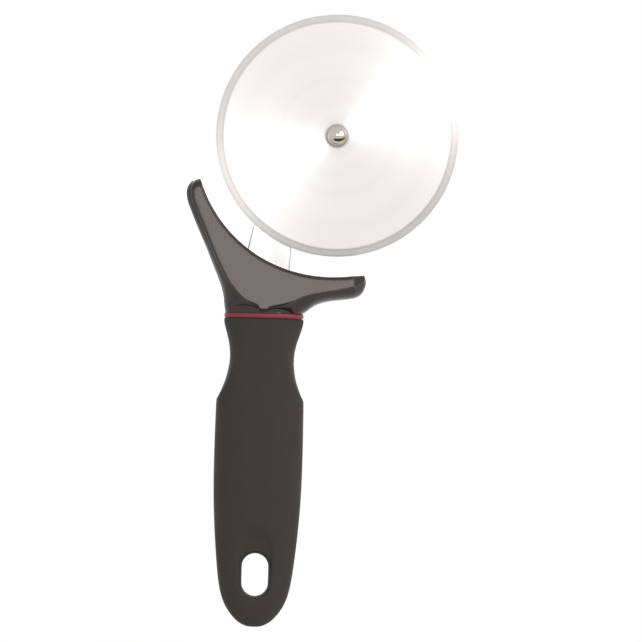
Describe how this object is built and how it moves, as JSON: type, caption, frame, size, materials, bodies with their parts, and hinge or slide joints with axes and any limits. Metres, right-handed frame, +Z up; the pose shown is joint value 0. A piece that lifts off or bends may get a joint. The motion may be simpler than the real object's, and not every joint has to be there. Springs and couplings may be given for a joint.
{
  "type": "pizza cutter wheel",
  "caption": "Hand-held rolling pizza cutter: stainless disc riveted to a flat arm, glossy crescent finger guard, thin ring and soft palm grip with a hanging slot.",
  "frame": {"origin": "on the handle's centre line in the middle of the palm, 70 mm above the butt end", "axes": "+Z up the handle towards the wheel, wheel axle along Y, the polished front and the rivet's domed head towards -Y, the wheel standing off to +X"},
  "size_m": [0.1137, 0.025, 0.2578],
  "materials": {
    "wheel_steel": "polished on a lathe, ground rim",
    "rivet_steel": "polished",
    "washer_steel": "tumbled",
    "spacer_nylon": "natural nylon",
    "arm_steel": "polished, deburred edges",
    "guard_plastic": "glossy moulding",
    "ring_plastic": "satin moulding",
    "core_plastic": "plain moulding",
    "grip_rubber": "fine matte moulding",
    "pin_steel": "ground"
  },
  "bodies": {
    "handle": {"axle_rivet": "rivet_steel", "front_washer": "washer_steel", "spacer_washer": "spacer_nylon", "rear_washer": "washer_steel", "shank_arm": "arm_steel", "finger_guard": "guard_plastic", "collar_ring": "ring_plastic", "handle_core": "core_plastic", "soft_grip": "grip_rubber", "upper_tang_pin": "pin_steel", "lower_tang_pin": "pin_steel"},
    "wheel": {"cutting_wheel": "wheel_steel"}
  },
  "joints": [
    {"name": "wheel_spin", "type": "hinge", "parent": "handle", "child": "wheel", "pos_m": [0.02929, -0.00288, 0.13705], "axis": [0, 1, 0], "continuous": true}
  ]
}
